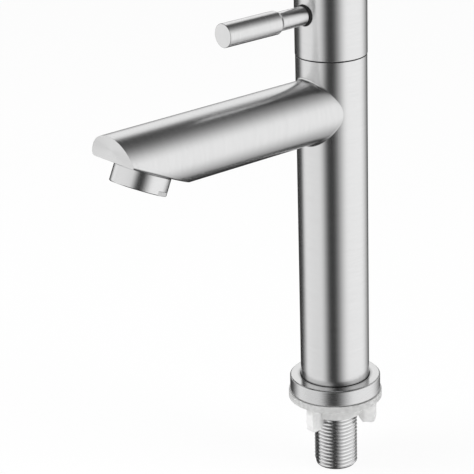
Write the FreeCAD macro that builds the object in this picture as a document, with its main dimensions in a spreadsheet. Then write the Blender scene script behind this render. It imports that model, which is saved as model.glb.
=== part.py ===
import FreeCAD, Part
import math
import os
import re
import Sketcher

# A single-lever cold basin tap in brushed steel, in millimetres.
# Z is up and the column's axis is the Z axis. The deck that the tap stands on is the plane Z = 0,
# so the base ring is above it and the threaded tail, the washer and the wing nut are below it.
# The spout and the lever both point along -Y.

SIZES = [
    # column and base
    ("column_diameter", 32.0, "outside of the column tube"),
    ("column_wall", 1.5, "wall of the column tube"),
    ("column_top_height", 162.8, "top edge of the column tube above the deck"),
    ("flange_diameter", 42.3, "outside of the base ring"),
    ("flange_height", 7.55, "height of the base ring"),
    ("flange_edge", 0.5, "edge break on top of the base ring"),
    ("flange_floor", 2.5, "floor of the base ring, under the column"),
    ("flange_gap", 0.25, "gap between the base ring and the column"),
    ("gasket_diameter", 34.5, "middle circle of the deck gasket"),
    ("gasket_width", 3.0, "width of the deck gasket"),
    ("gasket_depth", 1.6, "height of the deck gasket, flush in its groove"),
    ("plug_height", 9.0, "height of the plug in the column's foot"),
    # threaded tail
    ("shank_diameter", 20.955, "crest of the half-inch pipe thread"),
    ("shank_bore", 15.0, "water bore through the tail"),
    ("shank_drop", 38.5, "length of the tail below the deck"),
    ("shank_chamfer", 1.25, "chamfer on the tail's end, across"),
    ("shank_chamfer_height", 1.7, "chamfer on the tail's end, along"),
    ("shank_gap", 0.5, "gap between the tail and the base ring's floor"),
    ("thread_pitch", 1.814, "pitch of the half-inch pipe thread"),
    ("thread_depth", 1.162, "depth of the half-inch pipe thread"),
    ("thread_crest", 0.3, "flat on the thread's crest"),
    ("thread_half_angle", 27.5, "half of the thread's angle, degrees"),
    ("thread_top", 3.2, "plain neck between the deck and the thread"),
    ("thread_lead", 2.2, "start of the thread's cut below the tail's end"),
    ("thread_overcut", 0.4, "how far the thread's cutter stands outside the crest"),
    ("tail_flats_width", 18.6, "across the two flats of the tail"),
    ("tail_flats_turn", 59.0, "direction of the tail's first flat, degrees"),
    ("tail_flats_count", 2, "flats of the tail"),
    ("overcut", 1.0, "how far other cutters pass the surface that they cut"),
    # fits
    ("press_gap", 0.02, "radial gap of parts that are pressed, screwed or brazed together"),
    ("running_gap", 0.08, "radial gap of parts that turn in each other"),
    ("face_gap", 0.1, "gap between flat faces that turn past each other"),
    # waterway up the column
    ("inlet_diameter", 12.0, "outside of the inlet tube"),
    ("inlet_wall", 1.0, "wall of the inlet tube"),
    ("inlet_socket", 4.0, "depth of the inlet tube's seat in the tail"),
    ("housing_ring_height", 10.0, "threaded ring at the top of the valve housing"),
    ("housing_cup_diameter", 25.2, "outside of the valve housing's cup"),
    ("housing_floor", 3.0, "floor of the valve housing's cup"),
    ("housing_socket", 8.0, "depth of the inlet tube's seat in the valve housing"),
    ("housing_spigot_diameter", 16.0, "outside of the valve housing's spigot"),
    ("housing_port_diameter", 8.0, "side ports of the valve housing"),
    ("housing_port_height", 9.5, "side ports above the seat"),
    ("seat_depth", 27.5, "valve seat below the top of the valve housing"),
    ("seat_way_diameter", 9.0, "water hole through the valve seat"),
    # cartridge
    ("cartridge_thread", 20.955, "crest of the cartridge's thread"),
    ("cartridge_neck_diameter", 17.8, "cartridge below its thread"),
    ("cartridge_cavity_diameter", 14.4, "cavity for the discs"),
    ("cartridge_stand", 0.8, "cartridge's lower rim above the seat"),
    ("cartridge_shoulder", 9.0, "inner shoulder below the top of the valve housing"),
    ("hexagon_width", 22.0, "across the flats of the cartridge's hexagon"),
    ("hexagon_height", 5.0, "height of the cartridge's hexagon"),
    ("neck_diameter", 14.0, "cartridge above its hexagon"),
    ("neck_height", 5.5, "cartridge above its hexagon"),
    ("bonnet_seal_thickness", 0.8, "seal under the hexagon"),
    ("bonnet_seal_width", 1.2, "seal under the hexagon, across its band"),
    ("window_diameter", 4.4, "side windows of the cartridge"),
    ("window_height", 13.6, "side windows above the seat"),
    ("seal_height", 5.0, "height of the seat seal"),
    ("seal_bore", 10.0, "bore of the seat seal"),
    ("disc_thickness", 3.0, "thickness of each ceramic disc"),
    ("disc_window_radius", 5.7, "outer radius of the discs' windows"),
    ("disc_hub_radius", 1.6, "inner radius of the discs' windows"),
    ("disc_window_angle", 80.0, "width of each window, degrees"),
    # spindle
    ("spindle_diameter", 8.0, "spindle in its bore"),
    ("spindle_flange_diameter", 13.0, "collar at the spindle's foot"),
    ("spindle_flange_height", 2.5, "collar at the spindle's foot"),
    ("tongue_width", 9.0, "tongue that drives the moving disc"),
    ("tongue_thickness", 2.4, "tongue that drives the moving disc"),
    ("tongue_bite", 1.0, "depth of the tongue's slot in the moving disc"),
    ("o_ring_section", 1.2, "section of the spindle's ring seal"),
    ("o_ring_stand", 0.03, "ring seal outside the spindle's surface"),
    ("o_ring_depth", 7.0, "ring seal below the top of the cartridge's neck"),
    ("clip_diameter", 12.0, "outside of the spindle's clip"),
    ("clip_thickness", 0.8, "thickness of the spindle's clip"),
    ("clip_groove_depth", 0.8, "depth of the clip's groove"),
    ("clip_mouth", 4.0, "opening of the clip"),
    ("spline_depth", 0.35, "depth of the spline's grooves"),
    ("spline_start", 2.6, "spline above the cartridge's neck"),
    ("spline_count", 20, "grooves of the spline"),
    ("spindle_rise", 1.0, "top of the spindle above the lever's axis"),
    # handle
    ("seam_gap", 0.45, "gap between the column and the cap"),
    ("glide_skirt", 3.0, "height of the glide ring inside the column"),
    ("glide_wall", 1.4, "wall of the glide ring"),
    ("glide_recess", 0.35, "glide ring behind the column's surface"),
    ("glide_thickness", 0.35, "glide ring above the column's edge"),
    ("cap_diameter", 32.3, "outside of the cap"),
    ("cap_wall", 2.0, "wall of the cap"),
    ("cap_height", 40.1, "height of the cap"),
    ("cap_roof", 3.0, "thickness of the cap's roof"),
    ("cap_edge", 0.8, "edge break on top of the cap"),
    ("cap_rim", 0.15, "edge break at the cap's lower rim"),
    ("adapter_half", 8.0, "half of the adapter's height"),
    ("adapter_web", 2.2, "web of the adapter, on top of the spindle"),
    ("screw_diameter", 4.0, "shank of the adapter's screw"),
    ("screw_length", 9.0, "length of the adapter's screw"),
    ("screw_head_diameter", 7.2, "head of the adapter's screw"),
    ("screw_head_height", 2.4, "head of the adapter's screw"),
    ("screw_socket", 2.5, "hexagon socket across its flats"),
    ("screw_socket_depth", 1.5, "depth of the hexagon socket"),
    ("screw_pocket_diameter", 8.4, "counterbore round the screw's head"),
    # lever
    ("lever_rise", 19.85, "axis of the lever above the cap's lower rim"),
    ("stud_diameter", 5.0, "threaded stud of the lever"),
    ("stud_reach", 9.0, "inner end of the stud from the column's axis"),
    ("neck_of_lever_diameter", 8.45, "thin part of the lever"),
    ("lever_shoulder", 31.5, "end of the thin part from the column's axis"),
    ("grip_diameter", 10.5, "thick part of the lever"),
    ("grip_taper", 1.5, "length of the cone at the start of the grip"),
    ("grip_lip", 0.25, "step between the neck and the start of the cone"),
    ("grip_edge", 0.15, "edge break at the tip of the grip"),
    ("lever_reach", 62.3, "tip of the lever from the column's axis"),
    ("pin_diameter", 5.0, "pin of the neck inside the grip"),
    ("pin_length", 17.0, "pin of the neck inside the grip"),
    ("pin_end_gap", 0.5, "bore of the grip beyond the pin"),
    ("ring_seat_depth", 1.15, "flat seat of the lever in the cap"),
    ("ring_width", 0.48, "black ring at the lever's root, across its band"),
    ("ring_length", 1.67, "black ring at the lever's root, along the lever"),
    ("grub_reach", 9.5, "inner end of the grub screw from the axis"),
    ("grub_recess", 0.6, "grub screw behind the cap's surface"),
    ("grub_socket_depth", 2.6, "depth of the grub screw's socket"),
    # spout
    ("spout_diameter", 28.95, "outside of the spout tube"),
    ("spout_wall", 1.2, "wall of the spout tube"),
    ("spout_drop", 23.7, "axis of the spout below the column's top edge"),
    ("plate_thickness", 2.0, "plates that close the spout"),
    ("plate_rounding", 0.6, "rounding of the plates' lower side edges, as a share of their thickness"),
    ("tip_distance", 122.3, "tip face on the spout's axis, from the column's axis"),
    ("tip_lean", 11.0, "lean of the tip face, top outermost, degrees"),
    ("outlet_distance", 107.75, "outlet's axis at the slanted plate, from the column's axis"),
    ("outlet_drop", 4.3, "the same point below the spout's axis"),
    ("outlet_tilt", 24.6, "slant of the underside plate, degrees"),
    # outlet
    ("nozzle_diameter", 22.0, "outside of the male ring"),
    ("nozzle_wall", 1.5, "wall of the male ring"),
    ("nozzle_reach", 5.0, "male ring below the plate"),
    ("nozzle_root", 2.0, "male ring above the plate's outer face"),
    ("collar_diameter", 24.8, "outside of the outlet collar"),
    ("collar_length", 8.0, "lower rim of the outlet collar from the plate"),
    ("collar_gap", 0.15, "gap between the collar and the plate"),
    ("collar_mouth", 19.3, "mouth of the collar"),
    ("collar_edge", 0.3, "edge breaks of the collar"),
    ("flats_width", 23.7, "across the wrench flats"),
    ("flats_height", 1.9, "height of the wrench flats"),
    ("flats_turn", 20.0, "direction of the first flat, degrees"),
    ("flats_count", 2, "wrench flats round the collar"),
    ("washer_thickness", 0.8, "rubber washer over the insert"),
    ("insert_flange", 0.8, "flange of the insert"),
    ("insert_bore", 15.6, "bore of the insert"),
    ("insert_foot", 1.1, "insert below its flange"),
    ("insert_rise", 5.8, "insert above its flange"),
    ("insert_sieve", 1.0, "sieve plate at the top of the insert"),
    ("insert_hole", 1.6, "holes of the sieve plate"),
    ("screen_thickness", 0.8, "screen at the mouth"),
    ("screen_rim", 0.9, "wall of the insert round the screen"),
    ("screen_hole", 1.7, "holes of the screen"),
    ("screen_spacing", 2.35, "rings of holes apart"),
    # nut
    ("backing_gap", 0.3, "gap between the base ring and the washer"),
    ("backing_diameter", 43.75, "outside of the backing washer"),
    ("backing_thickness", 3.05, "thickness of the backing washer"),
    ("backing_bore_gap", 0.4, "gap between the washer and the tail"),
    ("nut_gap", 0.2, "gap between the washer and the nut"),
    ("nut_bore_gap", 0.12, "gap between the nut and the thread's crest"),
    ("nut_flange_diameter", 36.3, "flange of the wing nut"),
    ("nut_flange_height", 1.7, "flange of the wing nut"),
    ("nut_hub_diameter", 25.8, "hub of the wing nut"),
    ("nut_height", 7.65, "height of the wing nut without its wings"),
    ("wing_reach", 19.2, "outer edge of the wings from the axis"),
    ("wing_root", 11.3, "inner edge of the wings from the axis"),
    ("wing_height", 12.7, "height of the wings"),
    ("wing_thickness", 3.8, "thickness of the wings"),
    ("wing_round", 1.9, "rounded outer corner of the wings, and the width of the slanted inner one"),
    ("wing_inner_rise", 2.85, "height of the slanted inner corner of the wings"),
    ("wing_count", 3, "wings of the nut"),
    ("wing_turn", 8.0, "turn of the nut on its thread, degrees"),
]

NAMES = {name for name, value, meaning in SIZES}
document = FreeCAD.newDocument("basin_tap")
sheet = document.addObject("Spreadsheet::Sheet", "Sizes")
nodes = {}

# Places that several pieces share, each written once.
COLUMN = "column_diameter / 2"
BORE = "(column_diameter / 2 - column_wall)"
PLUG_TOP = "(flange_floor + plug_height)"
SHANK = "shank_diameter / 2"
INLET_SEAT = "(inlet_diameter / 2 + press_gap)"
INLET_FOOT = "(flange_floor + plug_height - inlet_socket)"
HOUSING_TOP = "(column_top_height - glide_skirt)"
SEAT = "(column_top_height - glide_skirt - seat_depth)"
INLET_TOP = "(column_top_height - glide_skirt - seat_depth - housing_floor)"
HEXAGON = "(column_top_height - glide_skirt + bonnet_seal_thickness)"
NECK_TOP = "(column_top_height - glide_skirt + bonnet_seal_thickness + hexagon_height + neck_height)"
SHOULDER = "(column_top_height - glide_skirt - cartridge_shoulder)"
SPINDLE = "spindle_diameter / 2"
SPINDLE_BORE = "(spindle_diameter / 2 + running_gap)"
CAP_FOOT = "(column_top_height + seam_gap)"
LEVER_AXIS = "(column_top_height + seam_gap + lever_rise)"
SPINDLE_TOP = "(column_top_height + seam_gap + lever_rise + spindle_rise)"
WEB_TOP = "(column_top_height + seam_gap + lever_rise + spindle_rise + adapter_web)"
CAP_BORE = "(cap_diameter / 2 - cap_wall)"
RING_SEAT = "(cap_diameter / 2 - ring_seat_depth)"
RING = "(neck_of_lever_diameter / 2 + ring_width)"
STUD_HOLE = "(stud_diameter / 2 + press_gap)"
SPOUT = "spout_diameter / 2"
SPOUT_AXIS = "(column_top_height - spout_drop)"
NOZZLE = "nozzle_diameter / 2"
INSERT_TOP = "(nozzle_reach + washer_thickness)"
NUT_TOP = "(0 - backing_gap - backing_thickness - nut_gap)"


def bound(formula):
    """A formula with the sheet's name before each of the sheet's values."""
    return re.sub(r"[a-z_]+", lambda word: "Sizes." * (word.group(0) in NAMES) + word.group(0), formula)


def number(formula):
    """What a formula comes to now."""
    return float(sheet.evalExpression(formula))


def fill_sheet():
    for row, (name, value, meaning) in enumerate(SIZES, start=1):
        sheet.set("A%d" % row, name)
        sheet.set("B%d" % row, str(value))
        sheet.setAlias("B%d" % row, name)
        sheet.set("C%d" % row, meaning)
    document.recompute()


def keep(label, thing):
    """Names a finished piece: its label names its file."""
    thing.Label = label
    nodes[label] = thing
    return thing


def new_body(label):
    return keep(label, document.addObject("PartDesign::Body", label))


def origin_part(body, role):
    for feature in body.Origin.OriginFeatures:
        if feature.Role == role:
            return feature


def pin_point(sketch, which, end, x, y):
    """Ties a point of a sketch to two formulas, measured from the sketch's origin."""
    for kind, axis, formula in (("DistanceX", -2, x), ("DistanceY", -1, y)):
        if formula == "0":
            sketch.addConstraint(Sketcher.Constraint("PointOnObject", which, end, axis))
        else:
            index = sketch.addConstraint(Sketcher.Constraint(kind, -1, 1, which, end, number(formula)))
            sketch.setExpression("Constraints[%d]" % index, bound(formula))


def draw(body, name, plane, loops=(), circles=(), lift=None):
    """A sketch of closed loops of corners and of circles, each size tied to the sheet."""
    sketch = body.newObject("Sketcher::SketchObject", name)
    sketch.AttachmentSupport = [(origin_part(body, plane), "")]
    sketch.MapMode = "FlatFace"
    if lift:
        sketch.setExpression("AttachmentOffset.Base.z", bound(lift))
    for corners in loops:
        places = [FreeCAD.Vector(number(x), number(y), 0) for x, y in corners]
        first = sketch.GeometryCount
        for here, there in zip(places, places[1:] + places[:1]):
            sketch.addGeometry(Part.LineSegment(here, there))
        for step in range(len(corners)):
            following = first + (step + 1) % len(corners)
            sketch.addConstraint(Sketcher.Constraint("Coincident", first + step, 2, following, 1))
        for step, (x, y) in enumerate(corners):
            pin_point(sketch, first + step, 1, x, y)
    for x, y, radius in circles:
        centre = FreeCAD.Vector(number(x), number(y), 0)
        which = sketch.addGeometry(Part.Circle(centre, FreeCAD.Vector(0, 0, 1), number(radius)))
        pin_point(sketch, which, 3, x, y)
        index = sketch.addConstraint(Sketcher.Constraint("Radius", which, number(radius)))
        sketch.setExpression("Constraints[%d]" % index, bound(radius))
    return sketch


def turn(body, outline):
    """Turns an outline of radius and height pairs round the body's Z axis."""
    feature = body.newObject("PartDesign::Revolution", body.Name + "_turning")
    feature.Profile = draw(body, body.Name + "_outline", "XZ_Plane", [outline])
    feature.ReferenceAxis = (feature.Profile[0], ["V_Axis"])
    feature.Angle = 360
    document.recompute()
    return feature


def turned(label, outline):
    body = new_body(label)
    turn(body, outline)
    return body


def pad(body, sketch, length, centred=False):
    feature = body.newObject("PartDesign::Pad", sketch.Name + "_pad")
    feature.Profile = sketch
    feature.Midplane = centred
    feature.setExpression("Length", bound(length))
    document.recompute()
    return feature


def pocket(body, sketch, length=None, backwards=False, both_ways=False):
    """Cuts a sketch through everything, or to a length, in one direction or both."""
    feature = body.newObject("PartDesign::Pocket", sketch.Name + "_cut")
    feature.Profile = sketch
    feature.Reversed = backwards
    feature.Midplane = both_ways
    if length:
        feature.setExpression("Length", bound(length))
    else:
        feature.Type = 1
    document.recompute()
    return feature


def repeat(body, feature, count):
    """Repeats a feature round the body's Z axis."""
    pattern = body.newObject("PartDesign::PolarPattern", feature.Name + "_round")
    pattern.Originals = [feature]
    pattern.Axis = (origin_part(body, "Z_Axis"), [""])
    pattern.Angle = 360
    pattern.setExpression("Occurrences", bound(count))
    body.Tip = pattern
    document.recompute()
    return pattern


def place(thing, x="0", y="0", z="0", axis=(0, 0, 1), angle=None):
    """Puts a piece at formulas for its place and for its turn about an axis."""
    start = number(angle) if angle else 0
    rotation = FreeCAD.Rotation(FreeCAD.Vector(*axis), start)
    thing.Placement = FreeCAD.Placement(FreeCAD.Vector(0, 0, 0), rotation)
    for letter, formula in (("x", x), ("y", y), ("z", z)):
        if formula != "0":
            thing.setExpression("Placement.Base." + letter, bound(formula))
    if angle:
        thing.setExpression("Placement.Rotation.Angle", "(" + bound(angle) + ") * 1 deg")
    return thing


def cylinder(name, radius, height, angle=None):
    shape = document.addObject("Part::Cylinder", name)
    shape.setExpression("Radius", bound(radius))
    shape.setExpression("Height", bound(height))
    if angle:
        shape.setExpression("Angle", "(" + bound(angle) + ") * 1 deg")
    return shape


def cut(name, base, tool):
    result = document.addObject("Part::Cut", name)
    result.Base = base
    result.Tool = tool
    document.recompute()
    return result


def hexagon(across):
    """Corners of a hexagon, from its width across the flats."""
    corner = "(" + across + ") / 2 / cos(30)"
    turns = range(0, 360, 60)
    return [(corner + " * cos(%d)" % angle, corner + " * sin(%d)" % angle) for angle in turns]


def beyond_flat(across, side, turn_by):
    """Corners of the square outside a flat, from the width across the flats and the flat's direction."""
    out = "(" + across + " / 2)"

    def corner(reach, along):
        return (reach + " * cos(" + turn_by + ") - " + along + " * sin(" + turn_by + ")",
                reach + " * sin(" + turn_by + ") + " + along + " * cos(" + turn_by + ")")

    back = "(0 - " + side + ")"
    return [corner(out, back), corner(side, back), corner(side, side), corner(out, side)]


# The base ring, with a groove in its underside for the deck gasket and a floor that the column stands on.

def make_base():
    inner = "(gasket_diameter / 2 - gasket_width / 2)"
    outer = "(gasket_diameter / 2 + gasket_width / 2)"
    turned("base_flange", [
        (SHANK + " + shank_gap", "0"), (inner, "0"), (inner, "gasket_depth"), (outer, "gasket_depth"),
        (outer, "0"), ("flange_diameter / 2", "0"), ("flange_diameter / 2", "flange_height - flange_edge"),
        ("flange_diameter / 2 - flange_edge", "flange_height"), (COLUMN + " + flange_gap", "flange_height"),
        (COLUMN + " + flange_gap", "flange_floor"), (SHANK + " + shank_gap", "flange_floor")])
    turned("deck_gasket", [
        (inner + " + press_gap", "0"), (outer + " - press_gap", "0"),
        (outer + " - press_gap", "gasket_depth - press_gap"),
        (inner + " + press_gap", "gasket_depth - press_gap")])
    turned("base_plug", [
        (SHANK + " + press_gap", "flange_floor"), (BORE + " - press_gap", "flange_floor"),
        (BORE + " - press_gap", PLUG_TOP), (SHANK + " + press_gap", PLUG_TOP)])


def make_column():
    column = turned("column_tube", [
        (BORE, "flange_floor"), (COLUMN, "flange_floor"), (COLUMN, "column_top_height"),
        (BORE, "column_top_height")])
    opening = draw(column, "spout_opening", "XZ_Plane",
        circles=[("0", SPOUT_AXIS, SPOUT + " - spout_wall")])
    pocket(column, opening, backwards=True)


# The hollow tail. Its half-inch pipe thread is cut as a helix that starts below the end and stops
# under the deck. Two flats, a little deeper than the thread, run along it.

def make_shank():
    shank = turned("threaded_shank", [
        ("shank_bore / 2", "0 - shank_drop"), (SHANK + " - shank_chamfer", "0 - shank_drop"),
        (SHANK, "shank_chamfer_height - shank_drop"), (SHANK, PLUG_TOP), (INLET_SEAT, PLUG_TOP),
        (INLET_SEAT, INLET_FOOT), ("shank_bore / 2", INLET_FOOT)])
    middle = "(0 - shank_drop - thread_lead)"
    mouth = "(thread_pitch / 2 - thread_crest / 2)"
    flank = "tan(thread_half_angle)"
    root = "(" + mouth + " - thread_depth * " + flank + ")"
    wide = "(" + mouth + " + thread_overcut * " + flank + ")"
    inside = SHANK + " - thread_depth"
    outside = SHANK + " + thread_overcut"
    groove = draw(shank, "thread_groove", "XZ_Plane", [[
        (inside, middle + " - " + root), (outside, middle + " - " + wide),
        (outside, middle + " + " + wide), (inside, middle + " + " + root)]])
    helix = shank.newObject("PartDesign::SubtractiveHelix", "thread")
    helix.Profile = groove
    helix.ReferenceAxis = (groove, ["V_Axis"])
    helix.Mode = 0
    helix.Angle = 0
    helix.Growth = 0
    helix.setExpression("Pitch", bound("thread_pitch"))
    helix.setExpression("Height", bound("shank_drop + thread_lead - thread_top"))
    document.recompute()
    flat = draw(shank, "tail_flat", "XY_Plane",
        [beyond_flat("tail_flats_width", "shank_diameter", "tail_flats_turn")], lift="0 - thread_top")
    flat_cut = pocket(shank, flat, "shank_drop - thread_top + overcut")
    repeat(shank, flat_cut, "tail_flats_count")


# The waterway: a tube from the tail to a cup that holds the cartridge. Ports in the cup open towards
# the spout.

def make_waterway():
    turned("inlet_tube", [
        ("inlet_diameter / 2 - inlet_wall", INLET_FOOT), ("inlet_diameter / 2", INLET_FOOT),
        ("inlet_diameter / 2", INLET_TOP), ("inlet_diameter / 2 - inlet_wall", INLET_TOP)])
    thread = "(cartridge_thread / 2 + press_gap)"
    ring_foot = "(" + HOUSING_TOP + " - housing_ring_height)"
    spigot_foot = "(" + INLET_TOP + " - housing_socket)"
    housing = turned("valve_housing", [
        (INLET_SEAT, spigot_foot), ("housing_spigot_diameter / 2", spigot_foot),
        ("housing_spigot_diameter / 2", INLET_TOP), ("housing_cup_diameter / 2", INLET_TOP),
        ("housing_cup_diameter / 2", ring_foot), (BORE + " - press_gap", ring_foot),
        (BORE + " - press_gap", HOUSING_TOP), (thread, HOUSING_TOP), (thread, SEAT),
        ("seat_way_diameter / 2", SEAT), ("seat_way_diameter / 2", INLET_TOP), (INLET_SEAT, INLET_TOP)])
    for plane in ("XZ_Plane", "YZ_Plane"):
        port = draw(housing, "port_" + plane[:2], plane, circles=[
            ("0", SEAT + " + housing_port_height", "housing_port_diameter / 2")])
        pocket(housing, port, both_ways=True)


def make_cartridge():
    rim = "(" + SEAT + " + cartridge_stand)"
    thread_foot = "(" + HOUSING_TOP + " - housing_ring_height)"
    body = turned("cartridge_body", [
        ("cartridge_cavity_diameter / 2", rim), ("cartridge_neck_diameter / 2", rim),
        ("cartridge_neck_diameter / 2", thread_foot), ("cartridge_thread / 2", thread_foot),
        ("cartridge_thread / 2", HEXAGON), ("neck_diameter / 2", HEXAGON), ("neck_diameter / 2", NECK_TOP),
        (SPINDLE_BORE, NECK_TOP), (SPINDLE_BORE, SHOULDER), ("cartridge_cavity_diameter / 2", SHOULDER)])
    nut = draw(body, "hexagon", "XY_Plane", [hexagon("hexagon_width")],
        [("0", "0", "neck_diameter / 2 - overcut")], HEXAGON)
    pad(body, nut, "hexagon_height")
    for plane in ("XZ_Plane", "YZ_Plane"):
        window = draw(body, "window_" + plane[:2], plane, circles=[
            ("0", SEAT + " + window_height", "window_diameter / 2")])
        pocket(body, window, both_ways=True)
    seal_inner = "(cartridge_thread / 2 + press_gap)"
    seal_outer = "(cartridge_thread / 2 + press_gap + bonnet_seal_width)"
    turned("bonnet_seal", [
        (seal_inner, HOUSING_TOP), (seal_outer, HOUSING_TOP), (seal_outer, HEXAGON), (seal_inner, HEXAGON)])
    cavity = "(cartridge_cavity_diameter / 2 - running_gap)"
    turned("seat_seal", [
        ("seal_bore / 2", SEAT), (cavity, SEAT), (cavity, SEAT + " + seal_height"),
        ("seal_bore / 2", SEAT + " + seal_height")])


# Each ceramic disc has two windows, opposite each other; a quarter turn brings the two pairs in line.

def make_disc(label, foot, turned_by):
    outside = cylinder(label + "_blank", "cartridge_cavity_diameter / 2 - running_gap", "disc_thickness")
    place(outside, z=foot)
    windows = []
    for side in (0, 180):
        name = "%s_window_%d" % (label, side)
        window = cylinder(name, "disc_window_radius", "disc_thickness", "disc_window_angle")
        start = "%d - disc_window_angle / 2" % (turned_by + side)
        windows.append(place(window, z=foot, axis=(0, 0, 1), angle=start))
    pair = document.addObject("Part::MultiFuse", label + "_windows")
    pair.Shapes = windows
    hub = place(cylinder(label + "_hub", "disc_hub_radius", "disc_thickness"), z=foot)
    return cut(label + "_plate", outside, cut(label + "_ports", pair, hub))


def make_discs():
    fixed = make_disc("fixed_disc", SEAT + " + seal_height", 90)
    keep("fixed_disc", fixed)
    foot = SEAT + " + seal_height + disc_thickness + face_gap"
    moving = make_disc("moving_disc", foot, 180)
    slot = document.addObject("Part::Box", "tongue_slot")
    slot.setExpression("Length", bound("cartridge_cavity_diameter"))
    slot.setExpression("Width", bound("tongue_thickness + 2 * press_gap"))
    slot.setExpression("Height", bound("tongue_bite * 2"))
    place(slot, "0 - cartridge_cavity_diameter / 2", "0 - tongue_thickness / 2 - press_gap",
          foot + " + disc_thickness - tongue_bite")
    keep("moving_disc", cut("moving_disc_slotted", moving, slot))


def make_spindle():
    flange_top = "(" + SHOULDER + " - face_gap)"
    flange_foot = "(" + SHOULDER + " - face_gap - spindle_flange_height)"
    groove = "(spindle_diameter / 2 + o_ring_stand - o_ring_section)"
    seal_middle = "(" + NECK_TOP + " - o_ring_depth)"
    clip_foot = "(" + NECK_TOP + " + face_gap)"
    clip_groove = "(spindle_diameter / 2 - clip_groove_depth)"
    tapped = "(screw_diameter / 2 + press_gap)"
    tapped_foot = "(" + SPINDLE_TOP + " - screw_length)"
    spindle = turned("spindle", [
        ("0", flange_foot), ("spindle_flange_diameter / 2", flange_foot),
        ("spindle_flange_diameter / 2", flange_top),
        (SPINDLE, flange_top), (SPINDLE, seal_middle + " - o_ring_section / 2 - press_gap"),
        (groove, seal_middle + " - o_ring_section / 2 - press_gap"),
        (groove, seal_middle + " + o_ring_section / 2 + press_gap"),
        (SPINDLE, seal_middle + " + o_ring_section / 2 + press_gap"), (SPINDLE, clip_foot + " - press_gap"),
        (clip_groove, clip_foot + " - press_gap"),
        (clip_groove, clip_foot + " + clip_thickness + press_gap"),
        (SPINDLE, clip_foot + " + clip_thickness + press_gap"), (SPINDLE, SPINDLE_TOP),
        (tapped, SPINDLE_TOP),
        (tapped, tapped_foot), ("0", tapped_foot)])
    disc_top = "(" + SEAT + " + seal_height + 2 * disc_thickness + face_gap)"
    tongue = draw(spindle, "tongue", "XY_Plane", [[
        ("0 - tongue_width / 2", "0 - tongue_thickness / 2"),
        ("tongue_width / 2", "0 - tongue_thickness / 2"),
        ("tongue_width / 2", "tongue_thickness / 2"), ("0 - tongue_width / 2", "tongue_thickness / 2")]],
        lift=disc_top + " - tongue_bite + press_gap")
    pad(spindle, tongue, flange_foot + " - (" + disc_top + " - tongue_bite + press_gap)")
    spline_foot = "(" + NECK_TOP + " + spline_start)"
    spline = draw(spindle, "spline_groove", "XY_Plane", [[
        (SPINDLE + " - spline_depth", "0"), (SPINDLE + " + spline_depth", "0 - 2 * spline_depth"),
        (SPINDLE + " + spline_depth", "2 * spline_depth")]], lift=spline_foot)
    groove_cut = pocket(spindle, spline, SPINDLE_TOP + " - " + spline_foot + " + overcut", backwards=True)
    repeat(spindle, groove_cut, "spline_count")
    ring = document.addObject("Part::Torus", "ring_seal")
    ring.setExpression("Radius1", bound(groove + " + o_ring_section / 2"))
    ring.setExpression("Radius2", bound("o_ring_section / 2"))
    keep("spindle_o_ring", place(ring, z=seal_middle))
    clip = turned("spindle_clip", [
        (clip_groove + " + press_gap", clip_foot), ("clip_diameter / 2", clip_foot),
        ("clip_diameter / 2", clip_foot + " + clip_thickness"),
        (clip_groove + " + press_gap", clip_foot + " + clip_thickness")])
    mouth = draw(clip, "clip_opening", "XY_Plane", [[
        ("0", "0 - clip_mouth / 2"), ("clip_diameter", "0 - clip_mouth / 2"),
        ("clip_diameter", "clip_mouth / 2"),
        ("0", "clip_mouth / 2")]])
    pocket(clip, mouth, both_ways=True)


# The handle: an adapter screwed on the spindle, and the cap over it, which the lever's stud and a grub
# screw lock to the adapter.

def make_adapter():
    outside = "(" + CAP_BORE + " - press_gap)"
    foot = "(" + LEVER_AXIS + " - adapter_half)"
    top = "(" + LEVER_AXIS + " + adapter_half)"
    hole = "(screw_diameter / 2 + running_gap)"
    adapter = turned("spline_adapter", [
        (SPINDLE + " + press_gap", foot), (outside, foot), (outside, top),
        ("screw_pocket_diameter / 2", top),
        ("screw_pocket_diameter / 2", WEB_TOP), (hole, WEB_TOP), (hole, SPINDLE_TOP),
        (SPINDLE + " + press_gap", SPINDLE_TOP)])
    holes = draw(adapter, "stud_holes", "XZ_Plane", circles=[("0", LEVER_AXIS, STUD_HOLE)])
    pocket(adapter, holes, both_ways=True)
    screw = turned("adapter_screw", [
        ("0", WEB_TOP + " - screw_length"), ("screw_diameter / 2", WEB_TOP + " - screw_length"),
        ("screw_diameter / 2", WEB_TOP), ("screw_head_diameter / 2", WEB_TOP),
        ("screw_head_diameter / 2", WEB_TOP + " + screw_head_height"),
        ("0", WEB_TOP + " + screw_head_height")])
    socket = draw(screw, "screw_socket", "XY_Plane", [hexagon("screw_socket")],
        lift=WEB_TOP + " + screw_head_height")
    pocket(screw, socket, "screw_socket_depth")


def make_cap():
    outside = "cap_diameter / 2"
    top = "(" + CAP_FOOT + " + cap_height)"
    cap = turned("handle_cap", [
        (CAP_BORE, CAP_FOOT), (outside + " - cap_rim", CAP_FOOT), (outside, CAP_FOOT + " + cap_rim"),
        (outside, top + " - cap_edge"), (outside + " - cap_edge", top), ("0", top),
        ("0", top + " - cap_roof"),
        (CAP_BORE, top + " - cap_roof")])
    stud = draw(cap, "cap_stud_holes", "XZ_Plane", circles=[("0", LEVER_AXIS, STUD_HOLE)])
    pocket(cap, stud, both_ways=True)
    seat = draw(cap, "lever_seat", "XZ_Plane", circles=[("0", LEVER_AXIS, RING + " + press_gap")],
        lift=RING_SEAT)
    pocket(cap, seat, backwards=True)
    turned("glide_ring", [
        (BORE + " - press_gap - glide_wall", HOUSING_TOP), (BORE + " - press_gap", HOUSING_TOP),
        (BORE + " - press_gap", "column_top_height"), (COLUMN + " - glide_recess", "column_top_height"),
        (COLUMN + " - glide_recess", "column_top_height + glide_thickness"),
        (BORE + " - press_gap - glide_wall", "column_top_height + glide_thickness")])


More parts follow.
